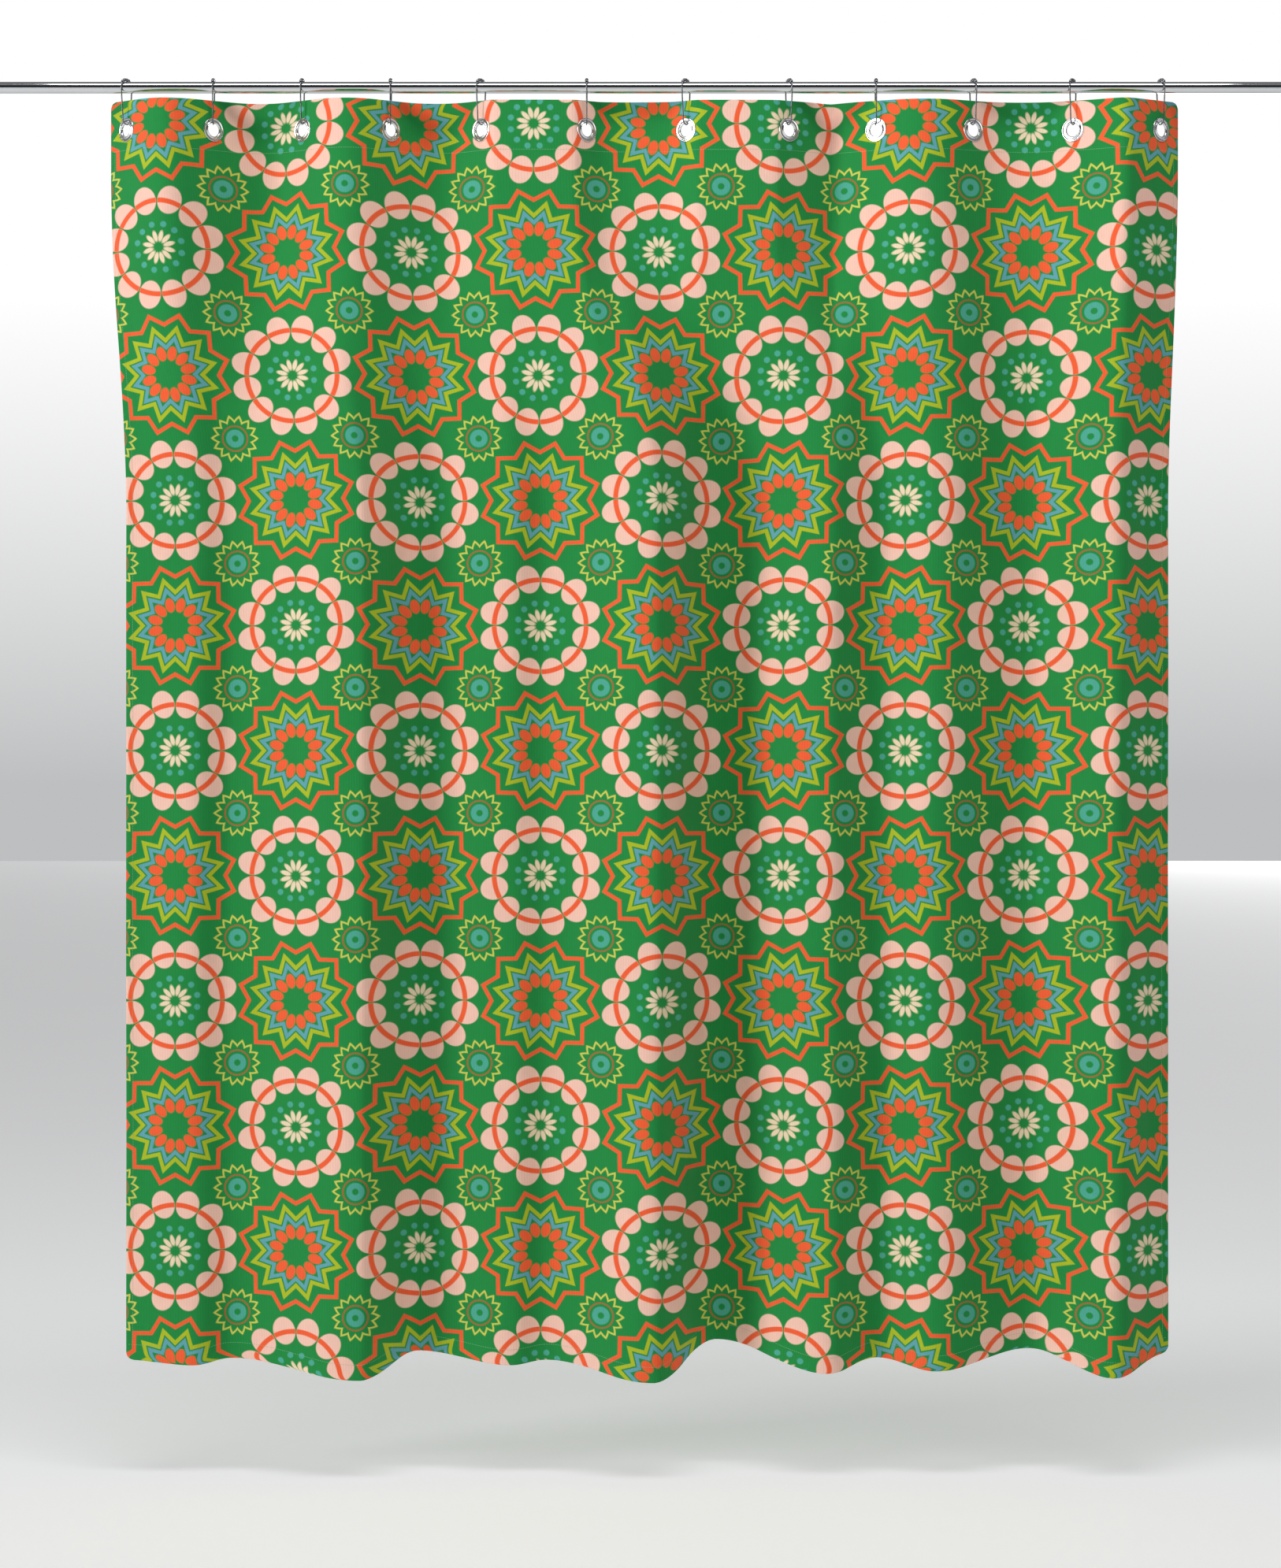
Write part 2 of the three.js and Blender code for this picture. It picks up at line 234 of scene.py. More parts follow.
def surface(name, points, close_rows=False, close_columns=False, maps=None, keep=None):
    """Skins a grid of points, rows by columns, with quads, closed on itself either way.

    maps gives a UV map's name and its value at each grid point. keep, a mask of the grid's
    quads, leaves holes where it is false.
    """
    rows, columns = points.shape[:2]
    number = np.arange(rows * columns).reshape(rows, columns)
    if close_rows:
        number = np.vstack([number, number[:1]])
    if close_columns:
        number = np.hstack([number, number[:, :1]])
    quads = np.stack([number[:-1, :-1], number[:-1, 1:], number[1:, 1:], number[1:, :-1]], -1)
    quads = quads[keep] if keep is not None else quads.reshape(-1, 4)
    mesh = bpy.data.meshes.new(name)
    mesh.from_pydata(points.reshape(-1, 3), [], quads.tolist())
    loose = np.setdiff1d(np.arange(rows * columns), np.unique(quads))
    corner = np.empty(len(mesh.loops), int)
    mesh.loops.foreach_get("vertex_index", corner)
    for map_name, value in (maps or {}).items():
        layer = mesh.uv_layers.new(name=map_name)
        layer.data.foreach_set("uv", value.reshape(-1, 2)[corner].ravel())
    mesh.polygons.foreach_set("use_smooth", np.ones(len(mesh.polygons), bool))
    mesh.update()
    made = bpy.data.objects.new(name, mesh)
    bpy.context.collection.objects.link(made)
    if len(loose):
        clean = bmesh.new()
        clean.from_mesh(mesh)
        bmesh.ops.delete(clean, geom=[v for v in clean.verts if not v.link_faces],
                         context="VERTS")
        clean.to_mesh(mesh)
        clean.free()
    return made


def rounded(corners, radius):
    """A closed profile with each corner cut by a quadratic curve that starts and ends this
    far from it, or a third of the shorter side: (1-t)^2 a + 2t(1-t) corner + t^2 b."""
    corners = np.array(corners, float)
    before = np.roll(corners, 1, 0) - corners
    after = np.roll(corners, -1, 0) - corners
    short = np.minimum(np.linalg.norm(before, axis=1), np.linalg.norm(after, axis=1))
    cut = np.minimum(radius, short / 3)[:, None]
    a = corners + before / np.linalg.norm(before, axis=1)[:, None] * cut
    b = corners + after / np.linalg.norm(after, axis=1)[:, None] * cut
    t = np.linspace(0, 1, 5)[:, None, None]
    curve = (1 - t) ** 2 * a + 2 * t * (1 - t) * corners + t ** 2 * b
    return curve.transpose(1, 0, 2).reshape(-1, 2)


def turned(profile, segments):
    """Turns a closed profile of (radius, distance) about X: (d, r cos a, r sin a)."""
    angle = np.linspace(0, 2 * np.pi, segments, endpoint=False)[:, None]
    r, d = profile[:, 0], profile[:, 1]
    return np.stack([d + 0 * angle, r * np.cos(angle), r * np.sin(angle)], -1)


def placed(points, turn=0.0, place=(0, 0, 0), quarter=False):
    """Turns points about Z by an angle, first from the X axis to the Y axis if quarter, and
    moves them to a place: (x cos a - y sin a, x sin a + y cos a, z) + place."""
    x, y, z = points[..., 0], points[..., 1], points[..., 2]
    if quarter:
        x, y = -y, x
    c, s = math.cos(turn), math.sin(turn)
    return np.stack([c * x - s * y, s * x + c * y, z], -1) + np.array(place)


def plated(name, colour, roughness, haze, scratch):
    """Plated metal: cloudy haze in the roughness and fine scratches in the surface."""
    made, shader, start = material(name, Metallic=1.0)
    place = start.make("ShaderNodeTexCoord", out=3)
    cloud = start.make("ShaderNodeTexNoise", {"Vector": place, "Scale": 55.0, "Detail": 4.0})
    fine = start.make("ShaderNodeTexNoise", {"Vector": place, "Scale": 900.0, "Detail": 2.0})
    feed(cloud * haze + (roughness - haze / 2), shader, "Roughness")
    dull = tuple(c * 0.9 for c in colour[:3]) + (1,)
    feed(cloud.over(colour, dull), shader, "Base Color")
    bump = start.make("ShaderNodeBump", {"Height": fine, "Strength": scratch,
                                         "Distance": 0.0001})
    feed(bump, shader, "Normal")
    return made


chrome = plated("polished_chrome", hue(226, 228, 230), 0.07, 0.05, 0.05)
rod_low, rod_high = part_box("rod_tube")
rod_profile = rounded([(rod_r - rod_wall, rod_low[0]), (rod_r, rod_low[0]),
                       (rod_r, rod_high[0]), (rod_r - rod_wall, rod_high[0])], rod_edge)
rod = surface("rod", turned(rod_profile, 96), True, True)
rod.data.materials.append(chrome)
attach(rod, "rod")
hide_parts("rod_tube")


# ---- Wall flanges ----
# A zinc plate with a socket for the end of the rod is screwed to the wall with two pan-head
# screws. A thin domed cover, spun from steel and plated like the rod, slides along over it.
cover_r = 0.033
cover_depth = 0.016
cover_wall = 0.001
cover_hole_r = 0.0116
cover_gap = 0.0003               # from the wall to the cover's open edge


def cover_profile():
    """A dome that leaves the wall square and bends over to the hole: the outer wall runs up a
    quarter of a superellipse, r = hole + span (1 - t^3)^(1/3), and the inner one lies a wall's
    thickness inside it."""
    t = np.linspace(0, 1, 24)
    span = cover_r - cover_hole_r
    radius = cover_hole_r + span * (1 - t ** 3) ** (1 / 3)
    height = cover_gap + (cover_depth - cover_gap) * t
    outer = np.stack([radius, height], 1)
    shrink = (span - cover_wall) / span
    inner = np.stack([cover_hole_r + (radius - cover_hole_r) * shrink,
                      np.minimum(height, cover_depth - cover_wall)], 1)[::-1]
    inner[0, 1] = cover_depth - cover_wall
    return np.vstack([outer, inner])


zinc = plated("zinc_plate", hue(176, 180, 184), 0.42, 0.12, 0.3)
screw_steel = plated("screw_steel", hue(150, 153, 158), 0.35, 0.1, 0.3)
for side, wall_x, facing in (("left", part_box("flange_left")[0][0], 0.0),
                             ("right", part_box("flange_right")[1][0], math.pi)):
    cover = surface(f"cover_{side}", placed(turned(cover_profile(), 72), facing,
                                            (wall_x, 0, 0)), True, True)
    cover.data.materials.append(chrome)
    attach(cover, "rod")
    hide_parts(f"flange_cover_{side}")
    for node, paint in ((f"flange_{side}", zinc), (f"screw_{side}_upper", screw_steel),
                        (f"screw_{side}_lower", screw_steel)):
        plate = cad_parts[node]
        plate.data.materials.clear()
        plate.data.materials.append(paint)


# ---- Hooks ----
# Each hook is one length of bright steel wire, bent over the rod, down in front of the cloth,
# through an eyelet and up behind it, where its ends snap together. Five small steel rollers
# are strung on the bend over the rod. The middle one has its own joint; the rest go with the
# hook.
wire_r = 0.001
roller_r = 0.0025
roller_half = 0.002
roller_play = 0.0003             # between the wire and a roller's bore
roller_lift = 0.00025            # how far the rod pushes a side roller out, within that play
seat_gap = 0.0003                # from the rod to the middle roller
leg_room = 0.0007                # how much further out the legs are than the top of the bend
bend_r = 0.009                   # of the half circle at the bottom
wire_room = 0.001                # from the wire to the bottom of the eyelet's bore
eyelet_bore_r = 0.010
hook_turns = [30, 0, 8, 0, 31, 0, 30, -21, 0, -19, 29, -20]     # degrees
over_r = rod_r + seat_gap + roller_r
leg_y = over_r + leg_room


def hanging(k):
    """Hook k's place along the rod and its eyelet's height, from the frame. The roller gives
    the place, because an eyelet set askew isn't centred in its own box."""
    roller_low, roller_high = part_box(f"roller_{k + 1:02d}")
    low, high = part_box(f"eyelet_{k + 1:02d}")
    return (roller_low[0] + roller_high[0]) / 2, (low[2] + high[2]) / 2


def passed(points):
    """How far along a line each of its points is."""
    return np.concatenate([[0], np.cumsum(np.linalg.norm(np.diff(points, axis=0), axis=1))])


def evenly(points, count):
    """The same line with its points spread evenly along its length."""
    reached = passed(points)
    target = np.linspace(0, reached[-1], count)
    return np.stack([np.interp(target, reached, points[:, i]) for i in range(2)], 1)


def hook_line(low_z):
    """A hook's centre line in (y, z): half an ellipse over the rod, two legs that lean in by a
    cosine ease, y = leg + (bend - leg)(1 - cos pi t) / 2, and a half circle under."""
    knee_z = low_z + bend_r
    over = np.linspace(0, np.pi, 40)
    under = np.linspace(np.pi, 2 * np.pi, 30)
    t = np.linspace(0, 1, 24)[1:-1]
    lean = leg_y + (bend_r - leg_y) * (1 - np.cos(np.pi * t)) / 2
    front = np.stack([-lean, knee_z * t], 1)
    back = np.stack([lean, knee_z * t], 1)
    half = len(t) // 2
    return evenly(np.vstack([
        back[:half][::-1],
        np.stack([leg_y * np.cos(over), over_r * np.sin(over)], 1),
        front,
        np.stack([bend_r * np.cos(under), knee_z + bend_r * np.sin(under)], 1),
        back[half:][::-1]]), 150)


def tube(line, radius, sides):
    """A round wire along a line in the YZ plane: centre + r (cos a N + sin a X), where N is
    the line's normal in that plane. Both ends close in a half ball."""
    tangent = np.gradient(line, axis=0)
    tangent /= np.linalg.norm(tangent, axis=1)[:, None]
    ball = np.linspace(0, np.pi / 2, 5)[:-1]
    start = line[0] - tangent[0] * (radius * np.cos(ball))[:, None]
    stop = line[-1] + tangent[-1] * (radius * np.cos(ball[::-1]))[:, None]
    centre = np.vstack([start, line, stop])
    around = np.vstack([np.repeat(tangent[:1], 4, 0), tangent, np.repeat(tangent[-1:], 4, 0)])
    size = np.concatenate([radius * np.sin(ball), np.full(len(line), radius),
                           radius * np.sin(ball[::-1])])[:, None]
    normal = np.stack([-around[:, 1], around[:, 0]], 1)
    angle = np.linspace(0, 2 * np.pi, sides, endpoint=False)[None, :]
    return np.stack([size * np.sin(angle),
                     centre[:, :1] + size * np.cos(angle) * normal[:, :1],
                     centre[:, 1:] + size * np.cos(angle) * normal[:, 1:]], -1)


def roller(angle, lift=0.0):
    """A barrel-shaped bead on the bend, at this angle up from the back: its radius swells as
    r (1 - 0.28 d^2) along it, about a bore that clears the wire. Lift is how far it sits out
    from the wire's middle."""
    d = np.linspace(-1, 1, 13)
    skin = np.stack([roller_r * (1 - 0.28 * d ** 2), roller_half * d], 1)
    bore_half = roller_half * 0.98
    bore = np.stack([np.full(2, wire_r + roller_play), [bore_half, -bore_half]], 1)
    bead = turned(np.vstack([skin, bore]), 24)
    along = np.array([-leg_y * math.sin(angle), over_r * math.cos(angle)])
    along /= np.linalg.norm(along)
    across = np.array([-along[1], along[0]])
    place = (0, leg_y * math.cos(angle) - lift * across[0],
             over_r * math.sin(angle) - lift * across[1])
    d, a, b = bead[..., 0], bead[..., 1], bead[..., 2]
    return np.stack([b, d * along[0] + a * across[0], d * along[1] + a * across[1]], -1) + place


def joined(name, parts):
    """One object from several closed grids of the same shape, side by side."""
    made = [surface(f"{name}_{i}", part, True, True) for i, part in enumerate(parts)]
    whole = bmesh.new()
    for piece in made:
        whole.from_mesh(piece.data)
        bpy.data.objects.remove(piece)
    mesh = bpy.data.meshes.new(name)
    whole.to_mesh(mesh)
    whole.free()
    mesh.polygons.foreach_set("use_smooth", np.ones(len(mesh.polygons), bool))
    piece = bpy.data.objects.new(name, mesh)
    bpy.context.collection.objects.link(piece)
    return piece


def welded(piece):
    """Merges the doubled points at a piece's poles and turns its faces outward."""
    whole = bmesh.new()
    whole.from_mesh(piece.data)
    bmesh.ops.remove_doubles(whole, verts=whole.verts, dist=1e-6)
    bmesh.ops.recalc_face_normals(whole, faces=whole.faces)
    whole.to_mesh(piece.data)
    whole.free()


bright_wire = plated("bright_wire", hue(118, 120, 124), 0.22, 0.1, 0.25)
roller_steel = plated("roller_steel", hue(138, 140, 144), 0.26, 0.12, 0.2)
bead_step = math.radians(23)     # round the bend, from one roller to the next
for k, turn in enumerate(hook_turns):
    number = f"{k + 1:02d}"
    hook_x, eyelet_z = hanging(k)
    low_z = eyelet_z + eyelet_bore_r - wire_room - wire_r
    turn_z = math.radians(-turn)
    wire = surface(f"hook_wire_{number}", placed(tube(hook_line(low_z), wire_r, 12), turn_z,
                                                 (hook_x, 0, 0)), False, True)
    welded(wire)
    wire.data.materials.append(bright_wire)
    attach(wire, f"hanger_{number}")
    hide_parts(f"hook_{number}")
    beads = joined(f"side_rollers_{number}",
                   [placed(roller(math.pi / 2 + step * bead_step, roller_lift), turn_z,
                           (hook_x, 0, 0)) for step in (-2, -1, 1, 2)])
    welded(beads)
    beads.data.materials.append(roller_steel)
    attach(beads, f"hanger_{number}")
    middle = surface(f"middle_roller_{number}", placed(roller(math.pi / 2), turn_z,
                                                       (hook_x, 0, 0)), True, True)
    welded(middle)
    middle.data.materials.append(roller_steel)
    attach(middle, f"wheel_{number}")
    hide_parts(f"roller_{number}")


# ---- Eyelets ----
# Two pressed rings clamp the cloth round each hole. The front one has a dished face, a raised
# rolled lip and a barrel that is flared over inside the plain back one. Bright nickel plate.
# Outlines are millimetres of radius and of distance behind the cloth's middle.
eyelet_turns = [45, 42, 42, 44, 42, 38, 36, 32, 31, 30, 30, 40]     # degrees, either way in turn
ring_edge = 0.0004               # rounding of each corner
eyelet_yaw = [math.radians(turn if k % 2 == 0 else -turn)
              for k, turn in enumerate(eyelet_turns)]
front_outline = np.array([
    (10.0, 1.1), (10.0, -0.7), (10.9, -1.95), (12.1, -1.75), (12.9, -1.0), (14.6, -0.85),
    (16.2, -1.35), (17.2, -1.2), (17.5, -0.55), (17.1, -0.32), (11.2, -0.32), (10.7, -0.1),
    (10.7, 1.05), (11.9, 1.75), (11.6, 2.05), (10.5, 1.55)]) / 1000
back_outline = np.array([(12.0, 0.92), (17.0, 0.92), (17.2, 1.4), (16.3, 1.85), (14.5, 1.6),
                         (13.2, 1.95), (12.35, 1.9)]) / 1000

nickel = plated("bright_nickel", hue(240, 240, 242), 0.16, 0.1, 0.12)
for k, yaw in enumerate(eyelet_yaw):
    number = f"{k + 1:02d}"
    eyelet_x, eyelet_z = hanging(k)
    for name, outline, node in (("eyelet_face", front_outline, "eyelet"),
                                ("eyelet_back", back_outline, "eyelet_ring")):
        ring = surface(f"{name}_{number}", placed(turned(rounded(outline, ring_edge), 72), -yaw,
                                                  (eyelet_x, 0, eyelet_z), quarter=True),
                       True, True)
        welded(ring)
        ring.data.materials.append(nickel)
        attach(ring, f"eyelet_{number}")
        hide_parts(f"{node}_{number}")


# ---- Curtain cloth ----
# One width of ribbed polyester, printed on its face, hemmed all round. It lies flat where an
# eyelet clamps it and bows out by turns between them; lower down these pleats run together
# into a few broad soft folds that reach the hem.
cloth_w = 1.803
cloth_drop = 1.880
cloth_t = 0.0005
eyelet_edge = 0.038              # from a side edge to the middle of the first eyelet
eyelet_pitch = (cloth_w - 2 * eyelet_edge) / (len(eyelet_yaw) - 1)
pad_half = 0.020                 # the flat part either side of an eyelet
fine_half = 0.022                # and the closely meshed part
fine_depth = 0.09                # which is also this deep
header_depth = 0.105             # the header's pleats hold down to here
header_fade = 0.620              # and have run into the broad folds by here
hole_r = 0.0158                  # cut wide, under the eyelet's face, so it can close up
hole_reach = 0.0215              # mesh points this near a hole's middle are drawn to its rim
corner_r = 0.012
hem_depth = 0.025
hem_left_in = 0.025              # how far the hem's ends stand in from the header's
hem_right_in = 0.014
hem_swing = 0.4                  # a fold that comes forward hangs this share of it lower
hem_rise = 0.008                 # how much the folds take up
header_tilt = 0.08               # a pleat that stands back stands this share of it higher
tilt_depth = 0.25                # and that fades out by here
ripple_depth = 0.0016            # small creases between the broad folds
ripple_fade = 0.3                # which come in over this much drop below the header
# Each ridge or valley of the hem: its share of the width, and its millimetres towards the back.
folds = np.array([
    (0, 0), (0.065, -12), (0.1, 4), (0.226, -45), (0.279, 20), (0.369, -12), (0.403, 0),
    (0.505, -50), (0.566, 45), (0.671, -30), (0.72, 5), (0.773, -25), (0.867, 25),
    (0.942, -40), (1, 15)])
top_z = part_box("curtain")[1][2]
eyelet_flat = eyelet_edge + eyelet_pitch * np.arange(len(eyelet_yaw))
eyelet_spots = [hanging(k) for k in range(len(eyelet_yaw))]


def length(points):
    """How long a line through these points is."""
    return np.linalg.norm(np.diff(points, axis=0), axis=1).sum()


def solve(rising, target, low, high):
    """The value at which a rising function reaches the target, by halving."""
    for _ in range(40):
        middle = (low + high) / 2
        if rising(middle) < target:
            low = middle
        else:
            high = middle
    return (low + high) / 2


def bow(a, a_way, b, b_way, reach):
    """A cubic Bezier that leaves a along a_way and comes into b along b_way:
    (1-t)^3 a + 3t(1-t)^2 (a + reach a_way) + 3t^2(1-t) (b - reach b_way) + t^3 b."""
    t = np.linspace(0, 1, 60)[:, None]
    return ((1 - t) ** 3 * a + 3 * t * (1 - t) ** 2 * (a + reach * a_way)
            + 3 * t ** 2 * (1 - t) * (b - reach * b_way) + t ** 3 * b)


def header_line():
    """The header seen from above, as flat distances and plan points: straight across each
    eyelet, and bowed between two until the cloth between them is used up."""
    ways = np.array([(math.cos(yaw), -math.sin(yaw)) for yaw in eyelet_yaw])
    pads = np.array([(x, 0) for x, _ in eyelet_spots])
    slack = eyelet_pitch - 2 * pad_half
    flat = [[0.0]]
    points = [pads[:1] - ways[:1] * eyelet_edge]
    for k in range(len(pads) - 1):
        a = pads[k] + ways[k] * pad_half
        b = pads[k + 1] - ways[k + 1] * pad_half
        reach = solve(lambda value: length(bow(a, ways[k], b, ways[k + 1], value)), slack,
                      0.005, 0.09)
        curve = bow(a, ways[k], b, ways[k + 1], reach)
        gone = passed(curve)
        flat.append(eyelet_flat[k] + pad_half + gone / gone[-1] * slack)
        points.append(curve)
    flat.append([cloth_w])
    points.append(pads[-1:] + ways[-1:] * eyelet_edge)
    return np.concatenate(flat), np.vstack(points)


def body_line(left, right):
    """The hem seen from above: a half cosine from each ridge to the next valley, deepened
    until the cut width is used up, and centred under the rod."""
    share = np.linspace(0, 1, 1201)
    i = np.clip(np.searchsorted(folds[:, 0], share, side="right") - 1, 0, len(folds) - 2)
    t = (share - folds[i, 0]) / (folds[i + 1, 0] - folds[i, 0])
    depth = folds[i, 1] + (folds[i + 1, 1] - folds[i, 1]) * (1 - np.cos(np.pi * t)) / 2
    depth = (depth - depth.mean()) / 1000
    x = left + (right - left) * share
    scale = solve(lambda value: length(np.stack([x, value * depth], 1)), cloth_w, 0.2, 4)
    points = np.stack([x, scale * depth], 1)
    gone = passed(points)
    return gone / gone[-1] * cloth_w, points


header_flat, header_points = header_line()
body_flat, body_points = body_line(header_points[0, 0] + hem_left_in,
                                   header_points[-1, 0] - hem_right_in)


def at(flat, line_flat, line):
    """The plan points at these flat distances along a line."""
    return np.stack([np.interp(flat, line_flat, line[:, i]) for i in range(2)], -1)


def ease(t):
    """3t^2 - 2t^3, from 0 to 1."""
    t = np.clip(t, 0, 1)
    return t * t * (3 - 2 * t)


def hung(flat, drop, lift=0.0):
    """Where a point of the flat cloth hangs, for its distance from the left edge and below the
    top edge: the header's plan melts into the body's by 3t^2 - 2t^3 between the two depths.
    Lift moves it off the middle of the cloth, across the plan, towards the back. A fold that
    comes forward hangs lower, in proportion to how far it comes."""
    melt = ease((drop - header_depth) / (header_fade - header_depth))[..., None]

    def plan(s):
        return ((1 - melt) * at(s, header_flat, header_points)
                + melt * at(s, body_flat, body_points))

    spot = plan(flat)
    step = 0.002                 # either side, to find which way the plan runs
    along = plan(np.minimum(flat + step, cloth_w)) - plan(np.maximum(flat - step, 0))
    along /= np.linalg.norm(along, axis=-1, keepdims=True)
    across = np.stack([-along[..., 1], along[..., 0]], -1)
    lower = ease((drop - header_fade) / (cloth_drop - header_fade))
    drape = (np.interp(flat, body_flat, body_points[:, 1]) * lower * hem_swing
             + lower * hem_rise
             + spot[..., 1] * ease(1 - drop / tilt_depth) * header_tilt)
    ripple = ripple_depth * np.sin(9.1 * drop + 23 * flat) * np.sin(41 * flat - 3.3 * drop)
    spot = spot + across * (lift + ripple * ease((drop - header_depth) / ripple_fade))[..., None]
    return np.concatenate([spot, (top_z - drop + drape)[..., None]], -1)


def flat_columns():
    """Distances from the left edge: close together round the eyelets, wider between them."""
    near = np.linspace(-fine_half, fine_half, 11)
    parts = [np.linspace(0, eyelet_edge - fine_half, 5)[:-1]]
    for k, spot in enumerate(eyelet_flat):
        parts.append(spot + near)
        if k < len(eyelet_flat) - 1:
            parts.append(np.linspace(spot + fine_half, spot + eyelet_pitch - fine_half,
                                     17)[1:-1])
    parts.append(np.linspace(cloth_w - eyelet_edge + fine_half, cloth_w, 5)[1:])
    return np.concatenate(parts)


def flat_rows():
    """Distances from the top edge: close together past the eyelets and at the hem's corners,
    and wider between."""
    marks = (0, corner_r, fine_depth, header_fade, cloth_drop - hem_depth,
             cloth_drop - corner_r, cloth_drop)
    counts = (8, 19, 46, 60, 4, 9)      # rows from each mark to the next
    parts = [np.linspace(a, b, count)[:-1] for a, b, count in zip(marks, marks[1:], counts)]
    return np.concatenate([*parts, [cloth_drop]])


flat_x, flat_y = np.meshgrid(flat_columns(), flat_rows())
for from_edge in (flat_y, cloth_drop - flat_y):
    inside = np.clip(1 - from_edge / corner_r, 0, 1)
    pull = corner_r * (1 - np.sqrt(1 - inside ** 2))
    left_share = np.clip(1 - flat_x / eyelet_edge, 0, 1)
    right_share = np.clip(1 - (cloth_w - flat_x) / eyelet_edge, 0, 1)
    flat_x = flat_x + pull * (left_share - right_share)

# Quads over a hole are dropped, and the points left round it are drawn in to a true circle.
centre_x = (flat_x[:-1, :-1] + flat_x[1:, 1:]) / 2
centre_y = (flat_y[:-1, :-1] + flat_y[1:, 1:]) / 2
solid_quads = np.ones(centre_x.shape, bool)
eyelet_drop = top_z - eyelet_spots[0][1]
for spot in eyelet_flat:
    solid_quads &= np.hypot(centre_x - spot, centre_y - eyelet_drop) > hole_r
rim = np.zeros(flat_x.shape, int)       # how many dropped quads each point touches
for rows, columns in ((slice(0, -1), slice(0, -1)), (slice(0, -1), slice(1, None)),
                      (slice(1, None), slice(0, -1)), (slice(1, None), slice(1, None))):
    rim[rows, columns] += ~solid_quads
for spot in eyelet_flat:
    away_x = flat_x - spot
    away_y = flat_y - eyelet_drop
    away = np.hypot(away_x, away_y)
    snap = (away < hole_reach) & (rim > 0) & (rim < 4)
    stretch = np.where(snap, hole_r / np.maximum(away, 1e-6), 1)
    flat_x = spot + away_x * stretch
    flat_y = eyelet_drop + away_y * stretch

cloth_points = hung(flat_x, flat_y)
left_edge = cloth_points[:, :1, 0]
right_edge = cloth_points[:, -1:, 0]
row_share = (cloth_points[..., 0] - left_edge) / (right_edge - left_edge)
print_first = 0.048              # the first column of rosettes, as a share of the width
print_step = 0.1163              # and the next ones after it
print_row = 0.1854               # metres from one row of rosettes to the next
print_top = 0.2413               # the first row below the rod
print_map = np.stack([(row_share - print_first) / print_step,
                      (-cloth_points[..., 2] - print_top) / print_row], -1)
flat_map = np.stack([flat_x, flat_y], -1)
curtain = surface("curtain_cloth", cloth_points, maps={"print": print_map, "flat": flat_map},
                  keep=solid_quads)

leaf_green = hue(28, 141, 65)
petal_pink = hue(252, 204, 185)
cream = hue(245, 222, 188)
orange = hue(250, 99, 53)
lime = hue(178, 192, 38)
sky_blue = hue(100, 168, 178)
teal = hue(78, 172, 150)
yellow = hue(212, 212, 92)
rust = hue(170, 104, 60)


def printed(start):
    """A plain geometric print: ringed daisies and nested stars in turn, both of twelve parts,
    and a small sun of fourteen where four of them meet. Every angle is folded into one half
    part; petals and dots are ellipses, 1 - sqrt((x / a)^2 + (y / b)^2), and a star is a band
    either side of the line x - slope y = reach."""
    uv = start.make("ShaderNodeUVMap", uv_map="print")
    parts = uv.make("ShaderNodeSeparateXYZ", {0: uv})
    u, v = parts, Tone(parts.tree, parts.socket.node.outputs[1])
    soft = 0.008
    wide, tall = 0.984, 1.011    # evens out a cell, so that its motif is round on the cloth

    def oval(along, across, middle, half_long, half_wide):
        far = ((along - middle) / half_long, across / half_wide)
        return (1 - (far[0] * far[0] + far[1] * far[1]).math("SQRT")) * half_wide

    cell_u, cell_v = u.math("ROUND"), v.math("ROUND")
    x, y = (u - cell_u) * wide, (v - cell_v) * tall
    r = (x * x + y * y).math("SQRT")
    angle = y.math("ARCTAN2", x)
    part = 2 * math.pi / 12
    turns = angle / part
    fold = abs(turns - turns.math("FLOOR") - 0.5) * part
    px, py = r * fold.math("COSINE"), r * fold.math("SINE")
    rest = part / 2 - fold
    qx, qy = r * rest.math("COSINE"), r * rest.math("SINE")
    star = (cell_u + cell_v).math("FLOORED_MODULO", 2)
    daisy = 1 - star

    colour = start.make("ShaderNodeMix", {0: 0.0, 6: leaf_green, 7: leaf_green}, out=2,
                        data_type="RGBA")

    petal = oval(px, py, 0.385, 0.112, 0.093)
    colour = (petal.soft(soft) * daisy).over(colour, petal_pink)
    hoop = (0.020 - abs(r - 0.372)).least(petal)
    colour = (hoop.soft(soft) * daisy).over(colour, orange)
    dots = oval(px, py, 0.185, 0.024, 0.024)
    colour = (dots.soft(soft) * daisy).over(colour, teal)
    seed = oval(px, py, 0.088, 0.044, 0.018)
    colour = (seed.soft(soft) * daisy).over(colour, cream)

    for reach, slope, half, ink in ((0.395, 0.55, 0.018, orange), (0.268, 0.95, 0.021, lime),
                                    (0.212, 0.95, 0.020, sky_blue)):
        zigzag = half - abs(qx - slope * qy - reach)
        colour = (zigzag.soft(soft) * star).over(colour, ink)
    colour = (oval(px, py, 0.168, 0.058, 0.038).soft(soft) * star).over(colour, orange)

    x, y = (u - u.math("FLOOR") - 0.5) * wide, (v - v.math("FLOOR") - 0.5) * tall
    r = (x * x + y * y).math("SQRT")
    ray_turns = y.math("ARCTAN2", x) / (2 * math.pi / 14)
    ray = abs(ray_turns - ray_turns.math("FLOOR") - 0.5) * 2
    points = (0.011 - abs(r - (0.135 + 0.045 * ray))) * 0.7
    colour = points.soft(soft).over(colour, yellow)
    colour = (0.006 - abs(r - 0.1)).soft(soft).over(colour, rust)
    colour = (0.072 - r).soft(soft).over(colour, teal)
    return (0.026 - r).soft(soft).over(colour, leaf_green)


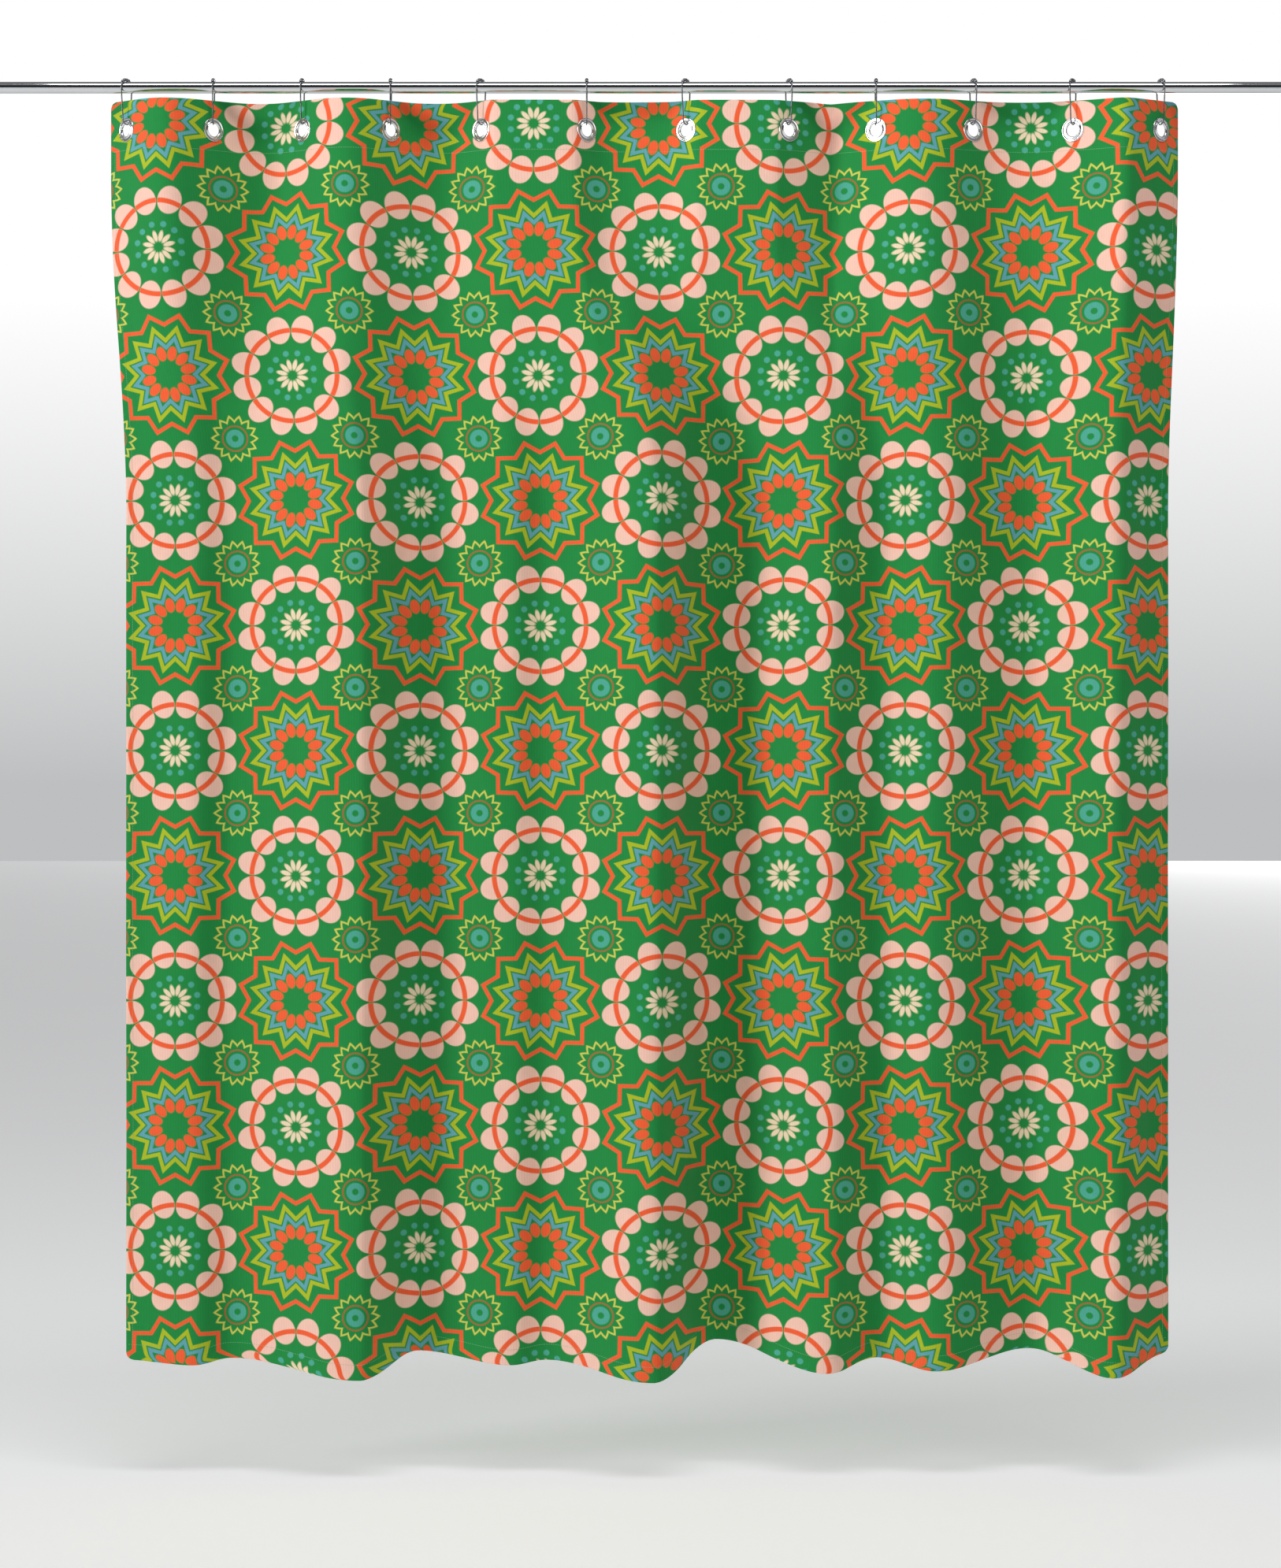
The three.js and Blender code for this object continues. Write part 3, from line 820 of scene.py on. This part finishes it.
def cloth_paint(name, fade, roughness):
    """The printed cloth: ribs run down it every 4 mm and fine threads cross it, in its height.
    Its colour is faintly darker in the ribs' troughs and lighter on their crests, a painted
    shade, and varies at random with the yarn; fade is how pale the print shows."""
    made, shader, start = material(name, Sheen_Weight=0.06, Sheen_Roughness=0.6,
                                   Specular_IOR_Level=0.18)
    colour = printed(start)
    if fade:
        colour = start.make("ShaderNodeMix", {0: fade, 6: colour, 7: hue(150, 190, 160)}, out=2,
                            data_type="RGBA")
    flat = start.make("ShaderNodeUVMap", uv_map="flat")
    parts = flat.make("ShaderNodeSeparateXYZ", {0: flat})
    across, down = parts, Tone(parts.tree, parts.socket.node.outputs[1])
    rib = (across * (2 * math.pi / 0.0041)).math("SINE")
    thread = (down * (2 * math.pi / 0.0017)).math("SINE")
    slub = start.make("ShaderNodeTexNoise", {"Vector": flat, "Scale": 60.0, "Detail": 3.0})
    broad = start.make("ShaderNodeTexNoise", {"Vector": flat, "Scale": 7.0, "Detail": 2.0})
    # Painted shade: the ribs' troughs darken and their crests lighten, in step with the bump
    # below; the slub and broad noise are the yarn's own uneven tone.
    rib_shade_and_yarn_tone = 1 + rib * 0.06 * slub + (slub - 0.5) * 0.10 + (broad - 0.5) * 0.08
    feed(colour.make("ShaderNodeVectorMath", {0: colour, "Scale": rib_shade_and_yarn_tone}, operation="SCALE"),
         shader, "Base Color")
    feed(slub * 0.12 + (roughness - 0.06), shader, "Roughness")
    height = rib * 0.5 + thread * 0.25 + slub * 0.8
    feed(start.make("ShaderNodeBump", {"Height": height, "Strength": 0.35,
                                       "Distance": 0.00025}), shader, "Normal")
    return made


cloth_front = cloth_paint("printed_face", 0.0, 0.8)
cloth_back = cloth_paint("printed_reverse", 0.55, 0.88)
# The grid's faces look to the back, so the reverse comes first; the print goes on the side and
# the edges that Solidify adds.
curtain.data.materials.append(cloth_back)
curtain.data.materials.append(cloth_front)
wall = curtain.modifiers.new("thickness", "SOLIDIFY")
wall.thickness = cloth_t
wall.offset = 0
wall.material_offset = 1
wall.material_offset_rim = 1
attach(curtain, "curtain")
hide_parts("curtain")
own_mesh(curtain)


# ---- Hems and stitching ----
# The cloth is turned over to the back on all four sides, deepest at the top, where the
# eyelets need two layers. The turned part shows its printed face. Lockstitch in pale green
# thread, near the colour of the print, holds it.
band_depth = 0.0765
side_hem = 0.012
side_columns = 4                 # of the cloth's grid, under a side hem
hem_lift = cloth_t + 0.0001      # a layer's thickness and a hair
stitch_step = 0.0036
stitch_half = 0.00135
stitch_r = 0.00028
stitch_edge = 0.003              # from the cloth's edge to the first stitch
stitch_in = 0.002                # from the hem's inner edge to its stitches
band_rows = int(np.sum(flat_rows() <= band_depth + 1e-6))
hem_rows = int(np.sum(flat_rows() >= cloth_drop - hem_depth - 1e-6))


def hem(name, rows, columns, edge_row=None, edge_column=None):
    """A turned edge: a part of the cloth's own grid, moved back by a layer's thickness, with
    the print mirrored about the fold, p' = 2 p(fold) - p."""
    shifted = hung(flat_x[rows, columns], flat_y[rows, columns], hem_lift)
    turned_print = print_map[rows, columns].copy()
    if edge_row is not None:
        turned_print[..., 1] = 2 * print_map[edge_row, 0, 1] - turned_print[..., 1]
    if edge_column is not None:
        turned_print[..., 0] = 2 * print_map[0, edge_column, 0] - turned_print[..., 0]
    quads = solid_quads[rows, columns][:shifted.shape[0] - 1, :shifted.shape[1] - 1]
    strip = surface(name, shifted, maps={"print": turned_print,
                                         "flat": flat_map[rows, columns]}, keep=quads)
    strip.data.materials.append(cloth_front)
    layer = strip.modifiers.new("thickness", "SOLIDIFY")
    layer.thickness = cloth_t * 0.9     # thin enough to lie clear of the cloth
    layer.offset = 0
    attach(strip, "curtain")
    return strip


def stitches(name, start, stop):
    """A row of stitches between two points of the flat cloth, on both its sides: each is a
    flattened spindle, r(a) around a line of length 2a, square in section."""
    start, stop = np.array(start), np.array(stop)
    span = np.linalg.norm(stop - start)
    way = (stop - start) / span
    middles = start + way * (np.arange(int(span / stitch_step)) + 0.5)[:, None] * stitch_step
    a = np.array([-1, -0.55, 0.55, 1]) * stitch_half
    r = np.array([0.25, 1, 1, 0.25]) * stitch_r
    angle = np.linspace(0, 2 * np.pi, 4, endpoint=False) + np.pi / 4
    side = np.array([-way[1], way[0]])
    spot = (middles[:, None, None, :] + a[None, :, None, None] * way
            + (r[:, None] * np.cos(angle))[None, :, :, None] * side)
    blocks = []
    for skin in (-cloth_t / 2, cloth_t * 1.6):      # the cloth's face, and the hem's back
        lift = skin + (r[:, None] * np.sin(angle))[None] * np.ones((len(middles), 1, 1))
        blocks.append(hung(spot[..., 0], spot[..., 1], lift))
    points = np.concatenate(blocks)
    count = len(points)
    number = np.arange(count * 16).reshape(count, 4, 4)
    next_one = np.roll(number, -1, 2)
    sides = np.stack([number[:, :-1], next_one[:, :-1], next_one[:, 1:], number[:, 1:]], -1)
    quads = np.concatenate([sides.reshape(-1, 4), number[:, 0, ::-1], number[:, -1]])
    mesh = bpy.data.meshes.new(name)
    mesh.from_pydata(points.reshape(-1, 3), [], quads.tolist())
    mesh.update()
    row = bpy.data.objects.new(name, mesh)
    bpy.context.collection.objects.link(row)
    welded(row)
    row.data.materials.append(thread)
    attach(row, "curtain")
    return row


thread, thread_shader, thread_start = material("pale_thread", Sheen_Weight=0.2)
thread_place = thread_start.make("ShaderNodeTexCoord", out=3)
lint = thread_start.make("ShaderNodeTexNoise", {"Vector": thread_place, "Scale": 700.0})
feed(lint.over(hue(120, 176, 138), hue(150, 196, 160)), thread_shader, "Base Color")
feed(lint * 0.2 + 0.6, thread_shader, "Roughness")
feed(thread_start.make("ShaderNodeBump", {"Height": lint, "Strength": 0.3,
                                          "Distance": 0.0001}), thread_shader, "Normal")

full_width = slice(None)
between_hems = slice(band_rows - 1, 1 - hem_rows)
top_seam = band_depth - stitch_edge
bottom_hem = cloth_drop - hem_depth
bottom_seam = bottom_hem + stitch_in
left_seam = side_hem - stitch_in
right_seam = cloth_w - left_seam
far_end = cloth_w - stitch_edge
sewn = [
    hem("hem_top", slice(0, band_rows), full_width, edge_row=0),
    hem("hem_bottom", slice(-hem_rows, None), full_width, edge_row=-1),
    hem("hem_left", between_hems, slice(0, side_columns), edge_column=0),
    hem("hem_right", between_hems, slice(-side_columns, None), edge_column=-1),
    stitches("stitches_top", (stitch_edge, top_seam), (far_end, top_seam)),
    stitches("stitches_bottom", (stitch_edge, bottom_seam), (far_end, bottom_seam)),
    stitches("stitches_left", (left_seam, band_depth), (left_seam, bottom_hem)),
    stitches("stitches_right", (right_seam, band_depth), (right_seam, bottom_hem))]
for piece in sewn:
    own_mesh(piece)
